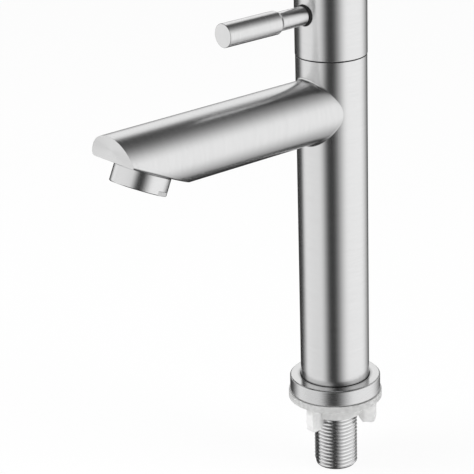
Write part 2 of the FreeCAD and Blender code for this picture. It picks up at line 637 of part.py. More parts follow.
# The lever's pieces are turned about their own Z axis, which then lies along -Y at the lever's height.

def lay_along_lever(body):
    return place(body, z=LEVER_AXIS, axis=(1, 0, 0), angle="90")


def make_lever():
    neck = "neck_of_lever_diameter / 2"
    pin = "pin_diameter / 2"
    pin_end = "(lever_shoulder + pin_length)"
    grip = "grip_diameter / 2"
    lay_along_lever(turned("lever_rod", [
        ("0", "stud_reach"), ("stud_diameter / 2", "stud_reach"), ("stud_diameter / 2", RING_SEAT),
        (neck, RING_SEAT),
        (neck, "lever_shoulder"), (pin, "lever_shoulder"), (pin, pin_end), ("0", pin_end)]))
    lay_along_lever(turned("lever_ring", [
        (neck + " + press_gap", RING_SEAT), (RING, RING_SEAT), (RING, RING_SEAT + " + ring_length"),
        (neck + " + press_gap", RING_SEAT + " + ring_length")]))
    lay_along_lever(turned("lever_grip", [
        (pin + " + press_gap", "lever_shoulder"), (neck + " + grip_lip", "lever_shoulder"),
        (grip, "lever_shoulder + grip_taper"), (grip, "lever_reach - grip_edge"),
        (grip + " - grip_edge", "lever_reach"), ("0", "lever_reach"), ("0", pin_end + " + pin_end_gap"),
        (pin + " + press_gap", pin_end + " + pin_end_gap")]))
    tip = "(cap_diameter / 2 - grub_recess)"
    grub = turned("rear_grub_screw", [
        ("0", "grub_reach"), ("stud_diameter / 2", "grub_reach"), ("stud_diameter / 2", tip), ("0", tip)])
    socket = draw(grub, "grub_socket", "XY_Plane", [hexagon("screw_socket")], lift=tip)
    pocket(grub, socket, "grub_socket_depth")
    place(grub, z=LEVER_AXIS, axis=(-1, 0, 0), angle="90")


# The spout: a tube cut to the column, and two flat plates that close it, drawn from the side in the
# YZ plane.
# Along the spout the distance from the column's axis is minus Y; heights are from the spout's axis.

PLATE_ALONG = "(plate_thickness / cos(tip_lean))"
PLATE_UP = "(plate_thickness / cos(outlet_tilt))"
LOW = "(0 - spout_diameter / 2 - overcut)"
HIGH = "(spout_diameter / 2 + overcut)"
FAR = "(tip_distance + spout_diameter)"
BEYOND = "(tip_distance + spout_diameter + overcut)"


def side_point(distance, height):
    return ("0 - (" + distance + ")", SPOUT_AXIS + " + " + height)


def on_tip(height, inwards):
    """Distance of the tip face, or of a plane inside it, at a height."""
    return "(tip_distance - " + inwards + " + " + height + " * tan(tip_lean))"


def on_slant(height, upwards):
    """Distance at which the slanted underside, or a plane above it, has a height."""
    return "(outlet_distance + (" + height + " + outlet_drop - " + upwards + ") / tan(outlet_tilt))"


def slant_height(distance, upwards):
    return "(" + upwards + " - outlet_drop + tan(outlet_tilt) * (" + distance + " - outlet_distance))"


MEETING_SLOPE = " / (1 - tan(outlet_tilt) * tan(tip_lean)))"


def meeting(inwards, upwards):
    """Height at which a plane of the tip meets a plane of the underside."""
    return "(" + slant_height("(tip_distance - " + inwards + ")", upwards) + MEETING_SLOPE


def trim_to_tube(body):
    """Cuts away what stands outside the spout tube's surface."""
    wide = "spout_diameter"
    low, high = SPOUT_AXIS + " - " + wide, SPOUT_AXIS + " + " + wide
    frame = [("0 - " + wide, low), (wide, low), (wide, high), ("0 - " + wide, high)]
    outside = draw(body, body.Name + "_trim", "XZ_Plane", [frame], [("0", SPOUT_AXIS, SPOUT)])
    pocket(body, outside, backwards=True)


def on_lower_edge(edge):
    """Whether an edge lies where the slanted underside meets the tube's round surface."""
    middle, radius, close = number(SPOUT_AXIS), number(SPOUT), 1e-4
    for share in (0.0, 0.5, 1.0):
        point = edge.valueAt(edge.FirstParameter + share * (edge.LastParameter - edge.FirstParameter))
        slant = number(slant_height("%.7f" % -point.y, "0"))
        if abs(math.hypot(point.x, point.z - middle) - radius) > close or abs(point.z - middle - slant) > close:
            return False
    return True


def round_lower_edges(body):
    """Rounds the edges at the sides of the slanted underside, on which a plate's outline is ground."""
    trimmed = body.Tip
    edges = ["Edge%d" % count for count, edge in enumerate(trimmed.Shape.Edges, 1) if on_lower_edge(edge)]
    fillet = body.newObject("PartDesign::Fillet", body.Name + "_rounding")
    fillet.Base = (trimmed, edges)
    fillet.setExpression("Radius", bound("plate_thickness * plate_rounding"))
    body.Tip = fillet
    document.recompute()


def make_spout():
    tube = new_body("spout_tube")
    ring = draw(tube, "spout_section", "XZ_Plane", circles=[
        ("0", SPOUT_AXIS, SPOUT), ("0", SPOUT_AXIS, SPOUT + " - spout_wall")])
    pad(tube, ring, FAR)
    saddle = draw(tube, "saddle", "XY_Plane", circles=[("0", "0", COLUMN + " + press_gap")])
    pocket(tube, saddle, both_ways=True)
    tip = draw(tube, "tip_side", "YZ_Plane", [[
        side_point(on_tip(LOW, PLATE_ALONG), LOW), side_point(on_tip(HIGH, PLATE_ALONG), HIGH),
        side_point(BEYOND, HIGH), side_point(BEYOND, LOW)]])
    pocket(tube, tip, both_ways=True)
    slant = draw(tube, "underside", "YZ_Plane", [[
        side_point(on_slant(LOW, PLATE_UP), LOW), side_point(BEYOND, slant_height(BEYOND, PLATE_UP)),
        side_point(BEYOND, LOW)]])
    pocket(tube, slant, both_ways=True)

    plate = new_body("spout_tip_plate")
    outer_end = meeting("0", "0")
    inner_end = meeting(PLATE_ALONG, "0")
    side = draw(plate, "tip_plate_side", "YZ_Plane", [[
        side_point(on_tip(outer_end, "0"), outer_end), side_point(on_tip(HIGH, "0"), HIGH),
        side_point(on_tip(HIGH, PLATE_ALONG), HIGH),
        side_point(on_tip(inner_end, PLATE_ALONG), inner_end)]])
    pad(plate, side, "spout_diameter + 2 * overcut", centred=True)
    trim_to_tube(plate)
    round_lower_edges(plate)

    under = document.addObject("PartDesign::Body", "underside_blank")
    upper_end = meeting(PLATE_ALONG, PLATE_UP)
    side = draw(under, "underside_plate_side", "YZ_Plane", [[
        side_point(on_tip(inner_end, PLATE_ALONG), inner_end),
        side_point(on_tip(upper_end, PLATE_ALONG), upper_end),
        side_point(on_slant(LOW, PLATE_UP), LOW), side_point(on_slant(LOW, "0"), LOW)]])
    pad(under, side, "spout_diameter + 2 * overcut", centred=True)
    trim_to_tube(under)
    round_lower_edges(under)
    hole = cylinder("nozzle_hole", NOZZLE + " + press_gap", "plate_thickness + 2 * overcut")
    place(hole, y="0 - outlet_distance - overcut * sin(outlet_tilt)",
          z=SPOUT_AXIS + " - outlet_drop - overcut * cos(outlet_tilt)", axis=(-1, 0, 0), angle="outlet_tilt")
    keep("spout_underside_plate", cut("underside_with_hole", under, hole))


# The outlet's pieces are turned about their own Z axis, with the slanted plate's outer face at their Z = 0.

def set_in_slant(body):
    return place(body, y="0 - outlet_distance", z=SPOUT_AXIS + " - outlet_drop", axis=(-1, 0, 0),
        angle="outlet_tilt")


def hole_rings(radius, spacing, first, last):
    """Circles for rings of holes; ring number n has six times n holes."""
    circles = [("0", "0", radius)] if first == 0 else []
    for ring in range(max(first, 1), last + 1):
        for step in range(6 * ring):
            reach = "%d * %s" % (ring, spacing)
            turn_by = "%.3f" % (360 * step / (6 * ring))
            circles.append(("%s * cos(%s)" % (reach, turn_by), "%s * sin(%s)" % (reach, turn_by), radius))
    return circles


def make_outlet():
    bore = "(nozzle_diameter / 2 - nozzle_wall)"
    set_in_slant(turned("outlet_nozzle", [
        (bore, "0 - nozzle_reach"), (NOZZLE, "0 - nozzle_reach"), (NOZZLE, "nozzle_root"),
        (bore, "nozzle_root")]))
    outside = "collar_diameter / 2"
    inside = "(" + NOZZLE + " + running_gap)"
    lip_top = "(0 - " + INSERT_TOP + " - insert_flange - press_gap)"
    collar = turned("aerator_housing", [
        ("collar_mouth / 2", "0 - collar_length"), (outside + " - collar_edge", "0 - collar_length"),
        (outside, "collar_edge - collar_length"), (outside, "0 - collar_gap - collar_edge"),
        (outside + " - collar_edge", "0 - collar_gap"), (inside, "0 - collar_gap"), (inside, lip_top),
        ("collar_mouth / 2", lip_top)])
    flat = draw(collar, "wrench_flat", "XY_Plane",
        [beyond_flat("flats_width", "collar_diameter", "flats_turn")], lift="flats_height - collar_length")
    flat_cut = pocket(collar, flat, "flats_height + overcut")
    repeat(collar, flat_cut, "flats_count")
    set_in_slant(collar)

    flange_foot = "(0 - " + INSERT_TOP + " - insert_flange)"
    foot = "(0 - " + INSERT_TOP + " - insert_flange - insert_foot)"
    inner_r = "insert_bore / 2"
    screen_r = "(collar_mouth / 2 - running_gap - screen_rim)"
    head = "(0 - " + INSERT_TOP + " + insert_rise)"
    insert = turned("aerator_insert", [
        ("0", head + " - insert_sieve"), (inner_r, head + " - insert_sieve"),
        (inner_r, foot + " + screen_thickness"), (screen_r, foot + " + screen_thickness"), (screen_r, foot),
        ("collar_mouth / 2 - running_gap", foot), ("collar_mouth / 2 - running_gap", flange_foot),
        (NOZZLE, flange_foot), (NOZZLE, "0 - " + INSERT_TOP),
        (bore + " - running_gap", "0 - " + INSERT_TOP),
        (bore + " - running_gap", head), ("0", head)])
    sieve_circles = hole_rings("insert_hole / 2", "screen_spacing", 1, 2)
    sieve = draw(insert, "sieve_holes", "XY_Plane", circles=sieve_circles, lift=head)
    pocket(insert, sieve, "insert_sieve + overcut")
    set_in_slant(insert)
    screen = turned("aerator_screen", [
        ("0", foot), (screen_r + " - press_gap", foot),
        (screen_r + " - press_gap", foot + " + screen_thickness"),
        ("0", foot + " + screen_thickness")])
    screen_circles = hole_rings("screen_hole / 2", "screen_spacing", 0, 3)
    holes = draw(screen, "screen_holes", "XY_Plane", circles=screen_circles, lift=foot)
    pocket(screen, holes, "screen_thickness + overcut", backwards=True)
    set_in_slant(screen)
    set_in_slant(turned("aerator_washer", [
        (bore, "0 - " + INSERT_TOP), (NOZZLE, "0 - " + INSERT_TOP), (NOZZLE, "0 - nozzle_reach"),
        (bore, "0 - nozzle_reach")]))


# Under the deck: a plastic washer, and a nut with three wings that reach below its hub.

def make_nut():
    washer_foot = "(0 - backing_gap - backing_thickness)"
    inner = "(" + SHANK + " + backing_bore_gap)"
    turned("backing_washer", [
        (inner, washer_foot), ("backing_diameter / 2", washer_foot),
        ("backing_diameter / 2", "0 - backing_gap"),
        (inner, "0 - backing_gap")])
    bore = "(" + SHANK + " + nut_bore_gap)"
    flange_foot = "(" + NUT_TOP + " - nut_flange_height)"
    nut = turned("wing_nut", [
        (bore, NUT_TOP + " - nut_height"), ("nut_hub_diameter / 2", NUT_TOP + " - nut_height"),
        ("nut_hub_diameter / 2", flange_foot), ("nut_flange_diameter / 2", flange_foot),
        ("nut_flange_diameter / 2", NUT_TOP), (bore, NUT_TOP)])
    wing_top = NUT_TOP + " - nut_flange_height / 2"
    wing_foot = NUT_TOP + " - wing_height"
    inner = "0 - wing_root"
    outer = "0 - wing_reach"
    side = draw(nut, "wing_side", "YZ_Plane", [[
        (inner + " - wing_round", wing_foot), (outer + " + wing_round", wing_foot),
        (outer + " + (1 - cos(45)) * wing_round", wing_foot + " + (1 - cos(45)) * wing_round"),
        (outer, wing_foot + " + wing_round"),
        (outer, wing_top), (inner, wing_top), (inner, wing_foot + " + wing_inner_rise")]])
    wing = pad(nut, side, "wing_thickness", centred=True)
    repeat(nut, wing, "wing_count")
    place(nut, angle="wing_turn")


def check_everything():
    """Stops the run if a feature failed, if a cut removed nothing or if a piece isn't a sound solid."""
    for thing in document.Objects:
        if "Invalid" in thing.State or "Error" in thing.State:
            raise RuntimeError(thing.Name + " failed: " + str(thing.State))
        base = getattr(thing, "BaseFeature", None)
        if base and thing.isDerivedFrom("PartDesign::Feature"):
            change = thing.Shape.Volume - base.Shape.Volume
            if abs(change) < 1e-6:
                raise RuntimeError(thing.Name + " changed nothing")
    for label, thing in nodes.items():
        shape = thing.Shape
        if shape.isNull() or not shape.isValid() or not shape.Solids:
            raise RuntimeError(label + " is not a sound solid")


def write_steps():
    os.makedirs("parts", exist_ok=True)
    for label, thing in sorted(nodes.items()):
        thing.Shape.exportStep("parts/" + label + ".step")
        print("%-24s %2d solid(s) %10.1f mm3" % (label, len(thing.Shape.Solids), thing.Shape.Volume))


fill_sheet()
make_base()
make_column()
make_shank()
make_waterway()
make_cartridge()
make_discs()
make_spindle()
make_adapter()
make_cap()
make_lever()
make_spout()
make_outlet()
make_nut()
document.recompute()
check_everything()
write_steps()
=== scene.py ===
import math

import bmesh
import bpy
from mathutils import Matrix, Vector


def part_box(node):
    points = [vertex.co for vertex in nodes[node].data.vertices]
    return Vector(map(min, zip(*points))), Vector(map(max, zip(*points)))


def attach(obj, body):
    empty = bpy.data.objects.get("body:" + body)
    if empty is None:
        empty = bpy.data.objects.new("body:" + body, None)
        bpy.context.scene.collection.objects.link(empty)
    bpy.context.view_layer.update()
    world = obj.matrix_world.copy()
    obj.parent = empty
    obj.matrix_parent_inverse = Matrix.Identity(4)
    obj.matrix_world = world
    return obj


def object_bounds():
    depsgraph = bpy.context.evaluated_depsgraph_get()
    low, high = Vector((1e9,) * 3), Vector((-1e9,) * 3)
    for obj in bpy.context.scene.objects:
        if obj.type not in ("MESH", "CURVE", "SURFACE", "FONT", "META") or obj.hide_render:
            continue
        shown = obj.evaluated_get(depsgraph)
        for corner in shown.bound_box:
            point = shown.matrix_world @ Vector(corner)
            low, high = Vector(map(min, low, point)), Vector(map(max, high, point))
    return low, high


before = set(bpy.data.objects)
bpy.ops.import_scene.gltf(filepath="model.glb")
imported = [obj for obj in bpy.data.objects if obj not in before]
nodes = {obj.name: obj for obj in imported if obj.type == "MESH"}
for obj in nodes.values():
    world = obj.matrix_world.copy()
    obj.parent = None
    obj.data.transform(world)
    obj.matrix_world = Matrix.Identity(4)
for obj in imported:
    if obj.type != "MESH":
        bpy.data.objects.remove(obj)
cad_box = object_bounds()

# The tap stands on the deck, the plane z = 0, with its column on the Z axis; the spout and the lever point
# along -Y. All lengths are in metres.
MM = 0.001


# Shader node helpers

def put(tree, socket, value):
    """Links a socket to another one, or sets its own value."""
    if isinstance(value, bpy.types.NodeSocket):
        tree.links.new(value, socket)
    else:
        socket.default_value = value


def new_node(tree, kind, **sockets):
    node = tree.nodes.new(kind)
    for name, value in sockets.items():
        put(tree, node.inputs[name.replace("_", " ")], value)
    return node


def math_node(tree, operation, *values):
    """One math node, or a chain of them where there are more than two values."""
    result = values[0]
    for value in values[1:] or (0.0,):
        node = tree.nodes.new("ShaderNodeMath")
        node.operation = operation
        put(tree, node.inputs[0], result)
        put(tree, node.inputs[1], value)
        result = node.outputs[0]
    return result


def dot_node(tree, vector, direction):
    node = tree.nodes.new("ShaderNodeVectorMath")
    node.operation = "DOT_PRODUCT"
    tree.links.new(vector, node.inputs[0])
    node.inputs[1].default_value = direction
    return node.outputs["Value"]


def map_range(tree, value, low, high, to_low=0.0, to_high=1.0, smooth=True):
    node = tree.nodes.new("ShaderNodeMapRange")
    node.interpolation_type = "SMOOTHSTEP" if smooth else "LINEAR"
    node.clamp = True
    put(tree, node.inputs["Value"], value)
    node.inputs["From Min"].default_value = low
    node.inputs["From Max"].default_value = high
    node.inputs["To Min"].default_value = to_low
    node.inputs["To Max"].default_value = to_high
    return node.outputs["Result"]


def coordinate(tree, kind):
    return tree.nodes.new("ShaderNodeTexCoord").outputs[kind]


def streaks(tree, stretch, detail=3.0, seed=0.0):
    """Noise drawn out into fine lines: stretch is how fast it changes along X, Y and Z, per metre."""
    mapping = new_node(tree, "ShaderNodeMapping", Vector=coordinate(tree, "Object"), Scale=stretch,
                       Location=(seed, seed, seed))
    noise = new_node(tree, "ShaderNodeTexNoise", Vector=mapping.outputs[0], Scale=1.0, Detail=detail)
    return noise.outputs["Fac"]


def mix_colour(tree, factor, first, second, blend="MIX"):
    """Mixes two colours, each of them a socket or a red, green and blue value."""
    node = tree.nodes.new("ShaderNodeMix")
    node.data_type = "RGBA"
    node.blend_type = blend
    put(tree, node.inputs["Factor"], factor)
    colours = [socket for socket in node.inputs if socket.type == "RGBA"]
    for socket, colour in zip(colours, (first, second)):
        put(tree, socket, colour if isinstance(colour, bpy.types.NodeSocket) else (*colour, 1.0))
    return next(s for s in node.outputs if s.type == "RGBA")


def relief(tree, shader, height, strength, depth, edge):
    """Bump from a height, over edges that are rounded by a radius, which may be none."""
    bump = new_node(tree, "ShaderNodeBump", Strength=strength, Distance=depth, Height=height)
    if edge:
        bevel = new_node(tree, "ShaderNodeBevel", Radius=edge)
        bevel.samples = BEVEL_SAMPLES
        tree.links.new(bevel.outputs[0], bump.inputs["Normal"])
    tree.links.new(bump.outputs[0], shader.inputs["Normal"])


def new_material(name):
    material = bpy.data.materials.new(name)
    material.use_nodes = True
    tree = material.node_tree
    shader = next(n for n in tree.nodes if n.type == "BSDF_PRINCIPLED")
    return material, tree, shader


# Materials

BEVEL_SAMPLES = 6
CREASE_SAMPLES = 16
NOISE_SPAN = (0.3, 0.7)        # most of a noise lies between these values
COARSE = 0.11                  # how fast the coarse lines change, as a share of the fine ones
FINE_SHARE = 0.75              # the share of the fine lines in the pattern
CONTRAST = 0.04                # how much darker and lighter the lines are than the metal
ANISOTROPY = 0.4
LINE_RELIEF = (0.10, 0.02 * MM)
END_FACE = (0.90, 0.97)        # cosine to the end's direction, where the end's look starts and is full
OPENNESS = (0.47, 0.82)        # ambient occlusion in a full crease and on an open surface
PLASTIC_EDGE = 0.4 * MM
PLASTIC_STRENGTH = 0.15
PAINTED_LIGHT_SHARE = 0.6               # how much of a milky plastic's tone is painted light in its thin parts


def brushed_steel(name, axis, lines, bright=0.755, rough=0.20, edge=0.35 * MM, spread=0.04,
                  tint=(1.0, 1.0, 1.002), crease=0.2, reach=1.8 * MM, ends=None):
    """Metal with fine lines round an axis, or without a grain in its gloss where the axis is None.

    lines: how fast the lines change along X, Y and Z. spread: how much the roughness varies.
    crease: how dark the painted shade in a crease is, within reach of another surface.
    ends: a direction, with the brightness and the roughness of the faces that point that way."""
    material, tree, shader = new_material(name)
    fine = streaks(tree, lines, 4.0)
    coarse = streaks(tree, tuple(s * COARSE for s in lines), 2.0, 5.0)
    pattern = math_node(tree, "ADD", math_node(tree, "MULTIPLY", fine, FINE_SHARE),
                        math_node(tree, "MULTIPLY", coarse, 1.0 - FINE_SHARE))
    dark = tuple(c * bright * (1.0 - CONTRAST) for c in tint)
    light = tuple(min(1.0, c * bright * (1.0 + CONTRAST)) for c in tint)
    surface = mix_colour(tree, map_range(tree, pattern, *NOISE_SPAN, smooth=False), dark, light)
    roughness = map_range(tree, pattern, *NOISE_SPAN, rough - spread / 2, rough + spread / 2, smooth=False)
    if ends:
        direction, end_bright, end_rough = ends
        end_face = map_range(tree, dot_node(tree, coordinate(tree, "Normal"), direction), *END_FACE)
        surface = mix_colour(tree, end_face, surface, (end_bright,) * 3)
        smoother = math_node(tree, "MULTIPLY", end_face, rough - end_rough)
        roughness = math_node(tree, "SUBTRACT", roughness, smoother)
    # Painted shade: ambient occlusion darkens the base colour in creases and where parts meet, down to crease
    # within reach.
    corner = new_node(tree, "ShaderNodeAmbientOcclusion", Distance=reach)
    corner.samples = CREASE_SAMPLES
    openness = map_range(tree, corner.outputs["AO"], *OPENNESS, smooth=False)
    painted_shade = mix_colour(tree, openness, (crease,) * 3, (1.0, 1.0, 1.0))
    put(tree, shader.inputs["Base Color"], mix_colour(tree, 1.0, surface, painted_shade, "MULTIPLY"))
    put(tree, shader.inputs["Roughness"], roughness)
    shader.inputs["Metallic"].default_value = 1.0
    if axis:
        tangent = tree.nodes.new("ShaderNodeTangent")
        tangent.direction_type = "RADIAL"
        tangent.axis = axis
        tree.links.new(tangent.outputs[0], shader.inputs["Tangent"])
        shader.inputs["Anisotropic"].default_value = ANISOTROPY
        shader.inputs["Anisotropic Rotation"].default_value = 0.25
    relief(tree, shader, pattern, *LINE_RELIEF, edge)
    return material


def moulded(name, dark, light, rough, grain, depth, see_through=0.0, painted_light_beyond=None):
    """Plastic or rubber with a fine mottled surface; outside the two radii given, it is painted paler,
    standing in for light through thin plastic.
    """
    material, tree, shader = new_material(name)
    cloud = streaks(tree, (grain,) * 3, 3.0)
    tone = map_range(tree, cloud, *NOISE_SPAN, smooth=False)
    # Painted light: beyond these radii the plastic is painted paler, standing in for light that shines
    # through its thin wings.
    if painted_light_beyond:
        flat = new_node(tree, "ShaderNodeMapping", Vector=coordinate(tree, "Object"), Scale=(1.0, 1.0, 0.0))
        radius = tree.nodes.new("ShaderNodeVectorMath")
        radius.operation = "LENGTH"
        tree.links.new(flat.outputs[0], radius.inputs[0])
        painted_light = map_range(tree, radius.outputs["Value"], *painted_light_beyond)
        tone = math_node(tree, "ADD", math_node(tree, "MULTIPLY", tone, 1.0 - PAINTED_LIGHT_SHARE),
                         math_node(tree, "MULTIPLY", painted_light, PAINTED_LIGHT_SHARE))
    put(tree, shader.inputs["Base Color"], mix_colour(tree, tone, dark, light))
    roughness = map_range(tree, cloud, *NOISE_SPAN, rough - 0.04, rough + 0.04, smooth=False)
    put(tree, shader.inputs["Roughness"], roughness)
    if see_through:
        shader.inputs["Subsurface Weight"].default_value = see_through
        shader.inputs["Subsurface Radius"].default_value = (1.0, 1.0, 1.0)
        shader.inputs["Subsurface Scale"].default_value = 2.5 * MM
    relief(tree, shader, cloud, PLASTIC_STRENGTH, depth, PLASTIC_EDGE)
    return material


def grey(value, blue=0.0):
    """A neutral colour, with a little less blue where that is given."""
    return value, value, value - blue


ROUND_Z = (150.0, 150.0, 5200.0)
ROUND_Y = (150.0, 5200.0, 150.0)
ROUND_X_AND_Z = (5200.0, 150.0, 5200.0)

# Each steel's crease and reach set how dark and how wide its painted shade in creases is.
steel_z = brushed_steel("brushed_steel_column", "Z", ROUND_Z, bright=0.78, rough=0.25, crease=0.1,
                        reach=1.0 * MM)
steel_y = brushed_steel("brushed_steel_spout", "Y", ROUND_Y, rough=0.25, edge=0.0)
steel_lever = brushed_steel("brushed_steel_lever", "Y", ROUND_Y, bright=0.75, rough=0.24, edge=0.1 * MM,
                            spread=0.08, ends=((0.0, -1.0, 0.0), 0.80, 0.23))
steel_flat = brushed_steel("brushed_steel_plate", "Y", ROUND_Y, rough=0.25, edge=0.1 * MM, crease=1.0,
                           ends=((0.0, -0.98, -0.2), 0.79, 0.26))
# The base's upward face is painted darker, standing in for the shade and dark reflection on it; it is also
# smoother.
steel_base = brushed_steel("brushed_steel_base", "Z", ROUND_Z, rough=0.28, edge=0.6 * MM, reach=3.5 * MM,
                           ends=((0.0, 0.0, 1.0), 0.70, 0.19))
steel_turned = brushed_steel("turned_steel", None, ROUND_Z, bright=0.78, rough=0.16, edge=0.08 * MM)
steel_thread = brushed_steel("threaded_steel", None, ROUND_Z, bright=0.95, rough=0.19, edge=0.0, crease=0.8)
steel_collar = brushed_steel("turned_collar_steel", None, ROUND_X_AND_Z, bright=0.77, rough=0.24, crease=0.8)
brass = brushed_steel("machined_brass", "Z", ROUND_Z, bright=0.66, tint=(1.0, 0.78, 0.42))
# The washer's milky plastic is a darker copy of the nut's, painted with the shade that falls on its front.
milky = moulded("milky_plastic", grey(0.54, 0.005), grey(0.68, 0.005), 0.42, 420.0, 0.02 * MM, 0.4)
# The nut's wings are painted paler than its hub, standing in for the light through them.
milky_nut = moulded("milky_plastic_nut", grey(0.69, 0.005), grey(0.97, 0.005), 0.42, 420.0, 0.02 * MM, 0.4,
                    painted_light_beyond=(13.0 * MM, 15.0 * MM))
white = moulded("white_plastic", grey(0.80, 0.01), grey(0.86, 0.01), 0.40, 600.0, 0.02 * MM)
black = moulded("black_plastic", grey(0.05), grey(0.08), 0.5, 900.0, 0.02 * MM)
rubber = moulded("black_rubber", grey(0.02), grey(0.035), 0.75, 1500.0, 0.03 * MM)
black_ring = moulded("black_rubber_ring", grey(0.01), grey(0.02), 0.6, 900.0, 0.02 * MM)
ceramic = moulded("lapped_ceramic", (0.84, 0.83, 0.80), (0.90, 0.89, 0.86), 0.22, 900.0, 0.005 * MM)

MATERIALS = {
    "column_tube": steel_z, "handle_cap": steel_z, "base_flange": steel_base,
    "spout_tube": steel_y, "lever_grip": steel_lever, "lever_rod": steel_lever,
    "spout_tip_plate": steel_flat, "spout_underside_plate": steel_flat,
    "aerator_housing": steel_collar, "outlet_nozzle": steel_collar,
    "threaded_shank": steel_thread, "rear_grub_screw": steel_turned, "adapter_screw": steel_turned,
    "spindle_clip": steel_turned, "inlet_tube": steel_turned, "base_plug": steel_turned,
    "aerator_screen": steel_turned,
    "valve_housing": brass, "cartridge_body": brass, "spindle": brass, "spline_adapter": brass,
    "fixed_disc": ceramic, "moving_disc": ceramic,
    "deck_gasket": rubber, "seat_seal": rubber, "spindle_o_ring": rubber, "bonnet_seal": rubber,
    "aerator_washer": rubber, "lever_ring": black_ring, "glide_ring": black,
    "aerator_insert": white, "backing_washer": milky, "wing_nut": milky_nut,
}
for name, material in MATERIALS.items():
    data = nodes[name].data
    data.materials.clear()
    data.materials.append(material)


# The ground weld between the spout and the column

FILLET_BALL = 1.3 * MM         # radius of the ball that is rolled round the joint
FILLET_SUNK = 0.25 * MM        # how far the fillet's hidden side lies inside the two tubes
FILLET_TURNS = 120
FILLET_ARC = 7


def mesh_piece(name, points, faces, material, body):
    data = bpy.data.meshes.new(name)
    data.from_pydata(points, [], faces)
    shell = bmesh.new()
    shell.from_mesh(data)
    bmesh.ops.recalc_face_normals(shell, faces=shell.faces)
    shell.to_mesh(data)
    shell.free()
    data.polygons.foreach_set("use_smooth", [True] * len(data.polygons))
    data.update()
    piece = bpy.data.objects.new(name, data)
    bpy.context.scene.collection.objects.link(piece)
    data.materials.append(material)
    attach(piece, body)


def ring_faces(turns, size):
    """Faces of a closed ring of equal sections, each with the same number of points."""
    faces = []
    for step in range(turns):
        this, following = step * size, (step + 1) % turns * size
        for place in range(size):
            beside = (place + 1) % size
            faces.append((this + place, this + beside, following + beside, following + place))
    return faces


def spout_fillet():
    """A ball rolled round the joint touches the column and the spout on two curves; the fillet joins them."""
    low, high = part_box("column_tube")
    column = (high.x - low.x) / 2
    spout_low, spout_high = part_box("spout_tube")
    spout = (spout_high.x - spout_low.x) / 2
    height = spout_high.z - spout
    to_column, to_spout = column + FILLET_BALL, spout + FILLET_BALL
    points = []
    for step in range(FILLET_TURNS):
        turn = 2 * math.pi * step / FILLET_TURNS
        across, up = to_spout * math.cos(turn), to_spout * math.sin(turn)
        out = math.sqrt(to_column ** 2 - across ** 2)
        centre = Vector((across, -out, height + up))
        on_column = Vector((across * column / to_column, -out * column / to_column, height + up))
        on_spout = Vector((across * spout / to_spout, -out, height + up * spout / to_spout))
        first, last = on_column - centre, on_spout - centre
        angle = first.angle(last)
        for piece in range(FILLET_ARC + 1):
            share = piece / FILLET_ARC
            points.append(centre + first * (math.sin((1 - share) * angle) / math.sin(angle))
                          + last * (math.sin(share * angle) / math.sin(angle)))
        sunk = (first + last).normalized() * FILLET_SUNK
        points += [on_spout + sunk, on_column + sunk]
    faces = ring_faces(FILLET_TURNS, FILLET_ARC + 3)
    mesh_piece("spout_fillet", points, faces, steel_y, "tap")


spout_fillet()


# Floor, light and camera

FLOOR_REACH = 3.0
FLOOR_BELOW = 0.2 * MM
FLOOR_GLOW = 0.9               # the share of plain white in the floor that the camera sees

# What the metal mirrors. Angles are in degrees: a turn is measured about the column from the camera's side of
# it, a height from the horizon. Each edge is written as its middle and its width. The boxes stand left and
# right of the camera with a dark gap between them, the table and the wing lie further round to the left, the
# backdrop closes the back from both sides, and all else is dark.
LEFT_BOX = {"light": 0.88, "turn": ((-113, 26), (-27, 34)), "height": ((-34, 10), (40, 16))}
RIGHT_BOX = {"light": 1.0, "turn": ((26, 50), (134, 64)), "height": ((-53, 66), (35, 58))}
TABLE = {"light": 1.0, "turn": ((-132, 20), (-97, 12)), "height": ((-48, 12), (-27, 12))}
WING = {"light": 0.98, "turn": ((-142, 20), (-95, 30)), "height": ((-4, 10), (14, 14))}
BACKDROP = {"light": 1.0, "turn": ((159, 30), None), "height": ((4, 30), (45.5, 8))}
CEILING = {"light": 0.93, "height": (78, 12)}
CANOPY = {"cover": 0.9, "turn": (56, 26), "height": (31, 8)}   # shades the panels above the camera
DARK = 0.04
UPRIGHT_HEIGHT = -21           # the height that upright metal mirrors
LEAN = 0.3                     # how far the gap's sides lean, as turn for each degree above that height
PLAIN_WORLD = 0.5              # the world's light on surfaces that don't mirror it

LAMPS = {"key_light": ((-0.5, -1.0, 1.25), 13.0), "fill_light": ((1.1, 0.5, 1.0), 10.0)}
LAMP_SIZE = 1.0
LAMPS_AIM = (0, -0.04, 0.1)

# The camera's place, directions and focal length in millimetres come from the fit to the photo's edges.
CAMERA_AT = Vector((0.621513, -0.584191, 0.401858))
CAMERA_RIGHT = Vector((0.654298, 0.755696, -0.028577))
CAMERA_UP = Vector((-0.25184, 0.253368, 0.934013))
CAMERA_AHEAD = Vector((-0.713071, 0.603927, -0.356093))
FOCAL_LENGTH = 151.27397
SENSOR_WIDTH = 36.0


